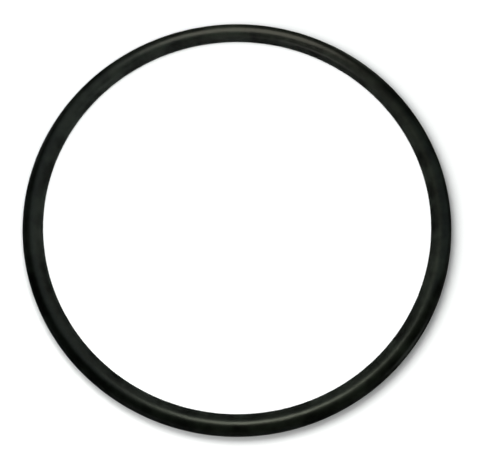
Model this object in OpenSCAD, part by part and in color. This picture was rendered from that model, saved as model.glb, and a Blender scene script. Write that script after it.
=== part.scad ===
// Rubber o-ring: one moulded ring of round section, lying flat.
// The origin is the centre of the ring, on the plane where the two mould halves met.
// The ring's axis is Z, and it rests on the circle section_d / 2 below the origin.

/* [Ring] */
// Free inside diameter of the round section's ring, unstretched
inside_d = 75.79; // [20:0.01:250]
// Diameter of the round section
section_d = 3.53; // [1.78:0.01:7]

/* [Mould line] */
// How far the trimmed flash stands proud of the round section, inside and outside
flash_h = 0.05; // [0.02:0.01:0.08]
// Thickness of the trimmed flash along the ring's axis
flash_t = 0.12; // [0.06:0.01:0.2]

/* [Rubber] */
// Colour of the rubber
rubber_color = "#181b19"; // [#181b19:Black nitrile, #5b3a26:Brown fluorocarbon, #a2472d:Red silicone]

/* [Hidden] */

// Radius of the circle that the section's centre runs along
mean_r = (inside_d + section_d) / 2;
// Width of the flash from its inner land to its outer land
flash_w = section_d + 2 * flash_h;
// Facets around the section and around the ring
section_sides = 96;
ring_sides = 240;

// The section: a full circle, crossed at mid height by the thin flash that the mould's parting line leaves.
module section_profile() {
    translate([mean_r, 0]) {
        circle(d = section_d, $fn = section_sides);
        square([flash_w, flash_t], center = true);
    }
}

// The ring: the section carried once around the axis.
module o_ring() {
    color(rubber_color)
        rotate_extrude($fn = ring_sides)
            section_profile();
}

o_ring();
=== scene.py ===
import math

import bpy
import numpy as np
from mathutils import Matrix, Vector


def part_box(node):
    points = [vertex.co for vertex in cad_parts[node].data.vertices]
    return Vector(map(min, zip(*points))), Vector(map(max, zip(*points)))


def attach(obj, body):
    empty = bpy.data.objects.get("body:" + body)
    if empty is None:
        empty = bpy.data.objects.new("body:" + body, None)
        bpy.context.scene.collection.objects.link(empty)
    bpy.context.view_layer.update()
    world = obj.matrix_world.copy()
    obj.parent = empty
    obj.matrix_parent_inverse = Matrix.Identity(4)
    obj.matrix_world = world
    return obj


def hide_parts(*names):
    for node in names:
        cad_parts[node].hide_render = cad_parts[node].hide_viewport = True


bl_info = {
    "name": "Rubber O-Ring",
    "version": (1, 0, 0),
    "blender": (4, 5, 0),
    "location": "View3D > Sidebar > O-Ring",
    "description": "A compression-moulded nitrile rubber o-ring, lying on a pale studio floor",
    "category": "Add Mesh",
}

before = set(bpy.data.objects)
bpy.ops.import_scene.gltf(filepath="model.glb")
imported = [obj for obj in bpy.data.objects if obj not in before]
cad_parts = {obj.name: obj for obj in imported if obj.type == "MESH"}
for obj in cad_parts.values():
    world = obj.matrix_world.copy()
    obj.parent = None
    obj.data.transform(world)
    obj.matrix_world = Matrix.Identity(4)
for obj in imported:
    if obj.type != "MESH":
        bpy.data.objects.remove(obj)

MM = 0.001

# The solid that the dressed ring stands for, the name of the dressed ring, and the body it rides on
NODE = "o_ring"
RING_NAME = "moulded_ring"
BODY = "root"

# Steps of the ring's surface: around the ring, along half of the section's circle, and across one flash
RING_STEPS = 1200
ARC_STEPS = 29
FLASH_STEPS = 7
# How strongly the steps along the arc crowd towards the flash, from 0 (even) to under 1
ARC_CROWDING = 0.75

# Every random draw starts from this number, so each run gives the same ring
SEED = 7
# The share of the flash's full height that trimming left: its middle value, how far it wanders to each
# side, and the numbers of waves along the ring that it is mixed from
TRIM_MIDDLE = 0.75
TRIM_SWING = 0.25
TRIM_WAVES = np.array([3, 7, 13, 22, 37, 61, 97, 143])
# The numbers of waves that the dents are mixed from, along the ring and around the section
DENTS_ALONG_RING = np.array([4, 9, 17, 28, 41, 66])
DENTS_AROUND_SECTION = np.array([1, 2, 3, 2, 1, 4])

# The rubber: its refraction, and its roughness where the skin is clean and where wax has bloomed on it
RUBBER_IOR = 1.52
CLEAN_ROUGHNESS = 0.30
BLOOMED_ROUGHNESS = 0.36
# Levels of the noise between which the wax goes from none to its full colour, and those that the noise
# itself hardly passes
BLOOM_START = 0.30
BLOOM_FULL = 0.70
NOISE_LOW = 0.28
NOISE_HIGH = 0.72
# Patterns of its skin, in millimetres: the width of each one's lumps, and for a relief its depth
BLOOM_WIDTH = 4
GRAIN_WIDTH = 0.3
GRAIN_DEPTH = 0.006
MARKS_WIDTH = 0.25
MARKS_DEPTH = 0.004
SWELLS_WIDTH = 2.5
SWELLS_DEPTH = 0.05
# How much of the place along the ring goes into the turning marks, which makes them fade in and out
MARKS_FADING = 0.03

# The card: its width in metres, its roughness, and in millimetres the width and depth of its fibres
CARD_WIDTH = 2.0
CARD_ROUGHNESS = 0.9
FIBRES_WIDTH = 0.8
FIBRES_DEPTH = 0.01
# Distances from its middle, in millimetres, between which the card goes from lit to glowing by itself,
# because the lamps reach no further
GLOW_START = 44
GLOW_END = 68

# Radiance of the room: what the ring reflects, and the pale backdrop that the camera sees past the card
ROOM_LEVEL = 0.0
BACKDROP_LEVEL = 1.2

# Round soft lamps: name, place, aimed-at point of the middle plane and diameter in millimetres,
# power in watts, and colour. The first two over-expose the card and draw its soft shadow
FLOOR_LAMPS = (
    ("key_lamp", (-6, -4.6, 46), (0, 0), 38, 0.0625, "#ffffff"),
    ("overhead_softbox", (-285, -10, 593), (0, 0), 886, 3.55, "#ffffff"),
)
# The front and rear lamp draw the bright bands of the near and far side, the right lamp the fainter band
# between them, and the left pair lights the broad left side
RING_LAMPS = (
    ("front_lamp", (2, -9.8, 46), (59, -54), 24, 0.0093, "#f8ffe6"),
    ("rear_lamp", (2, 48.5, 39), (-4, 66), 43, 0.0097, "#fffde9"),
    ("right_lamp", (40, 9.3, 28.7), (22, 30), 60, 0.0014, "#e8feff"),
    ("left_softbox", (-35.6, 26.8, 72), (-115, -22), 101, 0.0074, "#ecfffb"),
    ("left_lamp", (-20, -18, 12), (-19, 67), 19, 0.0019, "#fffff4"),
)
# Low softboxes around the ring round it off in views from the side: name, angle around the ring's axis
# in degrees, and power in watts. Their distance, height and diameter are in millimetres
SIDE_SOFTBOXES = (
    ("right_side_softbox", -30, 0.013),
    ("rear_side_softbox", 60, 0.008),
    ("left_side_softbox", 150, 0.005),
    ("front_side_softbox", 240, 0.003),
)
SIDE_DISTANCE = 298
SIDE_HEIGHT = 39
SIDE_SIZE = 80
SIDE_COLOUR = "#f6fff6"

# The image that the camera is set for, in pixels, and the sensor's width in millimetres
IMAGE_WIDTH = 480
SENSOR_WIDTH = 36.0
# The camera: its focal length in pixels, its height over the horizon and its roll in degrees,
# and in ring radii its distance and the floor point that it looks at
FOCAL_PIXELS = 390.0
CAMERA_ELEVATION = 71.99
CAMERA_ROLL = 1.37
CAMERA_DISTANCE = 1.931
CAMERA_TARGET = (0.0113, -0.1451)
CAMERA_NEAR = 1 * MM
CAMERA_FAR = 10.0

# Sockets of a Mix node that mixes two colours
MIX_SHARE = 0
MIX_FIRST = 6
MIX_SECOND = 7
MIX_RESULT = 2


def linear(hex_colour):
    """An sRGB hex colour as linear red, green and blue."""
    channels = np.array([int(hex_colour[i:i + 2], 16) / 255 for i in (1, 3, 5)])
    low = channels / 12.92
    high = ((channels + 0.055) / 1.055) ** 2.4
    return tuple(float(c) for c in np.where(channels <= 0.04045, low, high))


def noise_scale(width):
    """The scale at which a noise texture's lumps are this many millimetres wide."""
    return 1 / (width * MM)


def add_node(tree, kind, values=None, links=None, **settings):
    """Adds one node with its settings, the values of its sockets and the sockets that feed it."""
    node = tree.nodes.new(kind)
    for name, setting in settings.items():
        setattr(node, name, setting)
    for socket, value in (values or {}).items():
        node.inputs[socket].default_value = value
    for socket, source in (links or {}).items():
        tree.links.new(source, node.inputs[socket])
    return node


def new_tree(name):
    """An empty node material and its tree."""
    material = bpy.data.materials.new(name)
    material.use_nodes = True
    material.node_tree.nodes.clear()
    return material, material.node_tree


def grid_object(name, points, uv, material, closed):
    """A mesh from a grid of points, one face a cell.

    points has the shape (columns, rows, 3), and uv the map of the same cells, whose last column and row
    are kept apart from the first. A closed grid joins its last column and row to its first.
    """
    columns, rows = points.shape[:2]
    last = 0 if closed else 1
    i, j = np.meshgrid(np.arange(columns - last), np.arange(rows - last), indexing="ij")
    next_i = (i + 1) % columns
    next_j = (j + 1) % rows
    faces = np.stack([i * rows + j, next_i * rows + j, next_i * rows + next_j, i * rows + next_j], axis=-1)
    face_uv = np.stack([uv[i, j], uv[i + 1, j], uv[i + 1, j + 1], uv[i, j + 1]], axis=-2)
    mesh = bpy.data.meshes.new(name)
    mesh.from_pydata(points.reshape(-1, 3), [], faces.reshape(-1, 4))
    layer = mesh.uv_layers.new(name="surface")
    layer.data.foreach_set("uv", face_uv.astype(np.float32).ravel())
    mesh.shade_smooth()
    mesh.materials.append(material)
    piece = bpy.data.objects.new(name, mesh)
    bpy.context.scene.collection.objects.link(piece)
    return piece


def crowded_steps(start, stop, count):
    """Angles from start up to stop, in steps that are smaller near both ends.

    An even share x of the way becomes x less a sine of one turn, so its slope dips at both ends.
    """
    share = np.arange(count) / count
    share = share - ARC_CROWDING * np.sin(2 * np.pi * share) / (2 * np.pi)
    return start + (stop - start) * share


def flash_steps(middle, half):
    """Angles across one flash, as the cosine of even steps, so that its corners stay crisp."""
    return middle - half * np.cos(np.pi * np.arange(FLASH_STEPS) / FLASH_STEPS)


def waves(turn, counts, rng):
    """An uneven closed curve between -1 and 1: a mean of cosines with whole wave counts and drawn phases."""
    phases = rng.uniform(0, 2 * np.pi, len(counts))
    return np.cos(turn[:, None] * counts + phases).mean(axis=1)


def ring_points(mean_radius, section_radius, flash_height, flash_thickness, dent_depth):
    """The ring's surface as a grid, with its map.

    The section's centre runs along a circle of the mean radius. Around the section the surface is the circle
    of the section radius, less shallow dents, plus the flash at the outer and inner parting line. The flash
    is the fourth root of one less the fourth power of the way across it, so it has steep flanks and a flat
    land, and its height wanders along the ring as the trimming left it. The dents are a mean of cosines of
    the turn along the ring and the angle around the section, and fade out on the flash.
    """
    rng = np.random.default_rng(SEED)
    half = math.asin(flash_thickness / 2 / section_radius)
    angles = np.concatenate([
        flash_steps(0, half),
        crowded_steps(half, np.pi - half, ARC_STEPS),
        flash_steps(np.pi, half),
        crowded_steps(np.pi + half, 2 * np.pi - half, ARC_STEPS),
    ])
    turn = np.arange(RING_STEPS) * 2 * np.pi / RING_STEPS
    across = np.minimum(np.abs(np.sin(angles)) / math.sin(half), 1.0)
    ridge = (1 - across ** 4) ** 0.25

    trim = TRIM_MIDDLE + TRIM_SWING * waves(turn, TRIM_WAVES, rng)
    height = flash_height * trim[:, None] * ridge

    phases = rng.uniform(0, 2 * np.pi, len(DENTS_ALONG_RING))
    swell = np.cos(
        turn[:, None, None] * DENTS_ALONG_RING + angles[None, :, None] * DENTS_AROUND_SECTION + phases
    ).mean(axis=2)
    dents = dent_depth * (1 - swell) / 2 * (1 - ridge)

    radius = section_radius - dents + height
    out = mean_radius + radius * np.cos(angles)
    points = np.stack([
        out * np.cos(turn)[:, None],
        out * np.sin(turn)[:, None],
        radius * np.sin(angles),
    ], axis=-1)

    along = np.arange(RING_STEPS + 1) / RING_STEPS
    around = (np.append(angles, angles[0] + 2 * np.pi) - angles[0]) / (2 * np.pi)
    uv = np.stack(np.meshgrid(along, around, indexing="ij"), axis=-1)
    return points, uv


def card_points(height):
    """The card's four corners as a grid, level at one height and square around the axis, with its map."""
    share = np.array([0.0, 1.0])
    edge = (share - 0.5) * CARD_WIDTH
    x, y = np.meshgrid(edge, edge, indexing="ij")
    points = np.stack([x, y, np.full_like(x, height)], axis=-1)
    uv = np.stack(np.meshgrid(share, share, indexing="ij"), axis=-1)
    return points, uv


def moulded_relief(tree, place):
    """The skin as the mould leaves it: blasted grain, turning marks and swells, one laid over the other."""
    # The blasted wall's grain is about 0.05 mm, drawn at 0.3 mm so that it shows at all
    grain = add_node(
        tree, "ShaderNodeTexNoise", {"Scale": noise_scale(GRAIN_WIDTH), "Detail": 2.0, "Roughness": 0.6},
        {"Vector": place},
    ).outputs["Fac"]
    grain_bump = add_node(
        tree, "ShaderNodeBump", {"Strength": 1.0, "Distance": GRAIN_DEPTH * MM}, {"Height": grain},
    ).outputs["Normal"]

    # The cavity's turning marks lie 0.1 mm apart, drawn at 0.25 mm. They run around the ring's axis, so they
    # are noise over the distance from the axis and the height, and a little of the place makes them fade
    flat = add_node(
        tree, "ShaderNodeVectorMath", {1: (1, 1, 0)}, {0: place}, operation="MULTIPLY",
    ).outputs["Vector"]
    from_axis = add_node(tree, "ShaderNodeVectorMath", links={0: flat}, operation="LENGTH").outputs["Value"]
    height = add_node(tree, "ShaderNodeSeparateXYZ", links={"Vector": place}).outputs["Z"]
    section = add_node(
        tree, "ShaderNodeCombineXYZ", links={"X": from_axis, "Y": height},
    ).outputs["Vector"]
    marks_place = add_node(
        tree, "ShaderNodeVectorMath", {1: (MARKS_FADING,) * 3}, {0: place, 2: section},
        operation="MULTIPLY_ADD",
    ).outputs["Vector"]
    marks = add_node(
        tree, "ShaderNodeTexNoise", {"Scale": noise_scale(MARKS_WIDTH), "Detail": 1.0},
        {"Vector": marks_place},
    ).outputs["Fac"]
    marks_bump = add_node(
        tree, "ShaderNodeBump", {"Strength": 1.0, "Distance": MARKS_DEPTH * MM},
        {"Height": marks, "Normal": grain_bump},
    ).outputs["Normal"]

    # Soft rubber keeps shallow swells where it was pulled from the mould
    swells = add_node(
        tree, "ShaderNodeTexNoise", {"Scale": noise_scale(SWELLS_WIDTH), "Detail": 1.0}, {"Vector": place},
    ).outputs["Fac"]
    return add_node(
        tree, "ShaderNodeBump", {"Strength": 1.0, "Distance": SWELLS_DEPTH * MM},
        {"Height": swells, "Normal": marks_bump},
    ).outputs["Normal"]


def moulded_nitrile(body_colour, bloom_colour):
    """Nitrile rubber, compression moulded in a turned and lightly blasted steel cavity.

    Its carbon black gives a near-black body with a trace of green, its bloom of wax a faint mottling, the
    blasted wall a satin skin that spreads each lamp into a soft band along the ring, and the turning marks
    fine lines in that band.
    """
    material, tree = new_tree("compression_moulded_nitrile_rubber")
    place = add_node(tree, "ShaderNodeTexCoord").outputs["Object"]

    # Wax blooms in patches a few millimetres wide, which are paler and duller than the clean skin
    patches = add_node(
        tree, "ShaderNodeTexNoise", {"Scale": noise_scale(BLOOM_WIDTH), "Detail": 4.0, "Roughness": 0.6},
        {"Vector": place},
    ).outputs["Fac"]
    bloom = add_node(
        tree, "ShaderNodeMapRange", {"From Min": BLOOM_START, "From Max": BLOOM_FULL}, {"Value": patches},
        interpolation_type="SMOOTHSTEP",
    ).outputs["Result"]
    body = add_node(
        tree, "ShaderNodeMix", {MIX_FIRST: body_colour + (1.0,), MIX_SECOND: bloom_colour + (1.0,)},
        {MIX_SHARE: bloom}, data_type="RGBA",
    ).outputs[MIX_RESULT]
    gloss = add_node(
        tree, "ShaderNodeMapRange",
        {
            "From Min": NOISE_LOW, "From Max": NOISE_HIGH,
            "To Min": CLEAN_ROUGHNESS, "To Max": BLOOMED_ROUGHNESS,
        },
        {"Value": patches},
    ).outputs["Result"]

    shader = add_node(
        tree, "ShaderNodeBsdfPrincipled", {"IOR": RUBBER_IOR},
        {"Base Color": body, "Roughness": gloss, "Normal": moulded_relief(tree, place)},
    ).outputs["BSDF"]
    add_node(tree, "ShaderNodeOutputMaterial", links={"Surface": shader})
    return material


def matt_card(colour):
    """White card, pressed and uncoated: a matt sheet without a sheen, on which only the shadow shows.

    It glows past the lamps' reach, so that the stage stays pale as far as it goes.
    """
    material, tree = new_tree("pressed_white_card")
    place = add_node(tree, "ShaderNodeTexCoord").outputs["Object"]
    distance = add_node(
        tree, "ShaderNodeVectorMath", links={0: place}, operation="LENGTH",
    ).outputs["Value"]
    glow = add_node(
        tree, "ShaderNodeMapRange",
        {"From Min": GLOW_START * MM, "From Max": GLOW_END * MM, "To Max": BACKDROP_LEVEL},
        {"Value": distance}, interpolation_type="SMOOTHSTEP",
    ).outputs["Result"]
    # Paper fibres are about 0.03 mm wide, drawn at 0.8 mm as the soft unevenness of the sheet
    fibres = add_node(
        tree, "ShaderNodeTexNoise", {"Scale": noise_scale(FIBRES_WIDTH), "Detail": 2.0}, {"Vector": place},
    ).outputs["Fac"]
    relief = add_node(
        tree, "ShaderNodeBump", {"Strength": 0.3, "Distance": FIBRES_DEPTH * MM}, {"Height": fibres},
    ).outputs["Normal"]
    shader = add_node(
        tree, "ShaderNodeBsdfPrincipled",
        {
            "Base Color": colour + (1.0,), "Emission Color": colour + (1.0,),
            "Roughness": CARD_ROUGHNESS, "Specular IOR Level": 0.0,
        },
        {"Normal": relief, "Emission Strength": glow},
    ).outputs["BSDF"]
    add_node(tree, "ShaderNodeOutputMaterial", links={"Surface": shader})
    return material


def light_room():
    """A pale backdrop for the camera, and a dark room around the ring, so that it reflects only its lamps."""
    world = bpy.data.worlds.new("studio_room")
    bpy.context.scene.world = world
    world.use_nodes = True
    tree = world.node_tree
    tree.nodes.clear()
    seen = add_node(tree, "ShaderNodeLightPath").outputs["Is Camera Ray"]
    level = add_node(
        tree, "ShaderNodeMapRange", {"To Min": ROOM_LEVEL, "To Max": BACKDROP_LEVEL}, {"Value": seen},
    ).outputs["Result"]
    backdrop = add_node(
        tree, "ShaderNodeBackground", {"Color": (1, 1, 1, 1)}, {"Strength": level},
    ).outputs["Background"]
    add_node(tree, "ShaderNodeOutputWorld", links={"Surface": backdrop})


def hang_lamp(name, place, aim, size, power, colour, subject):
    """A round soft lamp that lights its subject alone and stays out of the picture."""
    data = bpy.data.lights.new(name, "AREA")
    data.shape = "DISK"
    data.size = size * MM
    data.energy = power
    data.color = linear(colour)
    lamp = bpy.data.objects.new(name, data)
    place = Vector(place) * MM
    aim = Vector((*aim, 0)) * MM
    turn = (aim - place).to_track_quat("-Z", "Y").to_matrix().to_4x4()
    lamp.matrix_world = Matrix.Translation(place) @ turn
    lamp.visible_camera = False
    lamp.light_linking.receiver_collection = subject
    bpy.context.scene.collection.objects.link(lamp)


def hang_side_softboxes(subject):
    """The low softboxes, each aimed at the ring's centre from its angle around the axis."""
    for name, degrees, power in SIDE_SOFTBOXES:
        angle = math.radians(degrees)
        place = (SIDE_DISTANCE * math.cos(angle), SIDE_DISTANCE * math.sin(angle), SIDE_HEIGHT)
        hang_lamp(name, place, (0, 0), SIDE_SIZE, power, SIDE_COLOUR, subject)


def subject_of(name, piece):
    """A collection that holds one piece, for the lamps that light it."""
    subject = bpy.data.collections.new(name)
    subject.objects.link(piece)
    return subject


def aim_camera(radius):
    """The camera that looks down on a ring of this mean radius from its near side."""
    data = bpy.data.cameras.new("photo_camera")
    data.sensor_width = SENSOR_WIDTH
    data.lens = FOCAL_PIXELS * SENSOR_WIDTH / IMAGE_WIDTH
    data.clip_start = CAMERA_NEAR
    data.clip_end = CAMERA_FAR
    elevation = math.radians(CAMERA_ELEVATION)
    place = Vector((0, -math.cos(elevation), math.sin(elevation))) * CAMERA_DISTANCE * radius
    target = Vector((*CAMERA_TARGET, 0)) * radius
    turn = (target - place).to_track_quat("-Z", "Y").to_matrix().to_4x4()
    roll = Matrix.Rotation(math.radians(CAMERA_ROLL), 4, "Z")
    camera = bpy.data.objects.new("photo_camera", data)
    camera.matrix_world = Matrix.Translation(place) @ turn @ roll
    bpy.context.scene.collection.objects.link(camera)
    bpy.context.scene.camera = camera


def ring_radii(flash_height):
    """The ring's mean radius and its section's radius. The solid's box reaches one flash past their sum."""
    low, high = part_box(NODE)
    section_radius = (high.z - low.z) / 2
    return high.x - flash_height - section_radius, section_radius


class RingSettings(bpy.types.PropertyGroup):
    """Sizes and colours of the ring."""

    flash_height: bpy.props.FloatProperty(
        name="Flash height",
        description="How far the trimmed flash stands proud of the round section",
        default=0.05 * MM, min=0.0, max=0.08 * MM, precision=6, unit="LENGTH", subtype="DISTANCE",
    )
    flash_thickness: bpy.props.FloatProperty(
        name="Flash thickness",
        description="Thickness of the trimmed flash along the ring's axis",
        default=0.12 * MM, min=0.04 * MM, max=0.2 * MM, precision=6, unit="LENGTH", subtype="DISTANCE",
    )
    dent_depth: bpy.props.FloatProperty(
        name="Dent depth",
        description="Deepest of the shallow dents in the moulded surface",
        default=0.02 * MM, min=0.0, max=0.1 * MM, precision=6, unit="LENGTH", subtype="DISTANCE",
    )
    body_colour: bpy.props.FloatVectorProperty(
        name="Rubber colour",
        description="Colour of the rubber where it is clean",
        default=linear("#141614"), size=3, min=0.0, max=1.0, subtype="COLOR",
    )
    bloom_colour: bpy.props.FloatVectorProperty(
        name="Bloom colour",
        description="Colour of the rubber where wax has bloomed on it",
        default=linear("#2f352f"), size=3, min=0.0, max=1.0, subtype="COLOR",
    )


class StageSettings(bpy.types.PropertyGroup):
    """Colour of the card."""

    card_colour: bpy.props.FloatVectorProperty(
        name="Card colour",
        description="Colour of the card that the ring lies on",
        default=linear("#f0f2f1"), size=3, min=0.0, max=1.0, subtype="COLOR",
    )


class ORING_OT_add_ring(bpy.types.Operator):
    """Add the moulded ring in place of its plain solid"""

    bl_idname = "oring.add_ring"
    bl_label = "Add Ring"
    bl_options = {"REGISTER", "UNDO"}

    def execute(self, context):
        settings = context.scene.oring_ring
        mean_radius, section_radius = ring_radii(settings.flash_height)
        points, uv = ring_points(
            mean_radius, section_radius, settings.flash_height, settings.flash_thickness, settings.dent_depth,
        )
        rubber = moulded_nitrile(tuple(settings.body_colour), tuple(settings.bloom_colour))
        ring = grid_object(RING_NAME, points, uv, rubber, closed=True)
        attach(ring, BODY)
        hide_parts(NODE)
        return {"FINISHED"}


class ORING_OT_add_stage(bpy.types.Operator):
    """Add the floor, the lamps, the room and the camera"""

    bl_idname = "oring.add_stage"
    bl_label = "Add Stage"
    bl_options = {"REGISTER", "UNDO"}

    def execute(self, context):
        card = matt_card(tuple(context.scene.oring_stage.card_colour))
        rest_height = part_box(NODE)[0].z
        floor = grid_object("floor", *card_points(rest_height), card, closed=False)
        # The card is over-exposed, and its reflection would draw bright rims on the ring
        floor.visible_glossy = False

        lit_floor = subject_of("lit_floor", floor)
        for lamp in FLOOR_LAMPS:
            hang_lamp(*lamp, lit_floor)
        lit_ring = subject_of("lit_ring", bpy.data.objects[RING_NAME])
        for lamp in RING_LAMPS:
            hang_lamp(*lamp, lit_ring)
        hang_side_softboxes(lit_ring)
        light_room()

        mean_radius, _ = ring_radii(context.scene.oring_ring.flash_height)
        aim_camera(mean_radius)
        context.scene.view_settings.view_transform = "Standard"
        return {"FINISHED"}


class ORING_PT_sidebar(bpy.types.Panel):
    """The ring's and the stage's buttons in the sidebar"""

    bl_idname = "ORING_PT_sidebar"
    bl_label = "Rubber O-Ring"
    bl_space_type = "VIEW_3D"
    bl_region_type = "UI"
    bl_category = "O-Ring"

    def draw(self, context):
        ring = context.scene.oring_ring
        stage = context.scene.oring_stage
        column = self.layout.column()
        for name in ("flash_height", "flash_thickness", "dent_depth", "body_colour", "bloom_colour"):
            column.prop(ring, name)
        column.operator(ORING_OT_add_ring.bl_idname)
        column.separator()
        column.prop(stage, "card_colour")
        column.operator(ORING_OT_add_stage.bl_idname)


CLASSES = (RingSettings, StageSettings, ORING_OT_add_ring, ORING_OT_add_stage, ORING_PT_sidebar)


def register():
    for cls in CLASSES:
        bpy.utils.register_class(cls)
    bpy.types.Scene.oring_ring = bpy.props.PointerProperty(type=RingSettings)
    bpy.types.Scene.oring_stage = bpy.props.PointerProperty(type=StageSettings)


def unregister():
    del bpy.types.Scene.oring_stage
    del bpy.types.Scene.oring_ring
    for cls in reversed(CLASSES):
        bpy.utils.unregister_class(cls)


def main():
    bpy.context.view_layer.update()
    register()
    bpy.ops.oring.add_ring()
    bpy.ops.oring.add_stage()


if __name__ == "__main__":
    main()
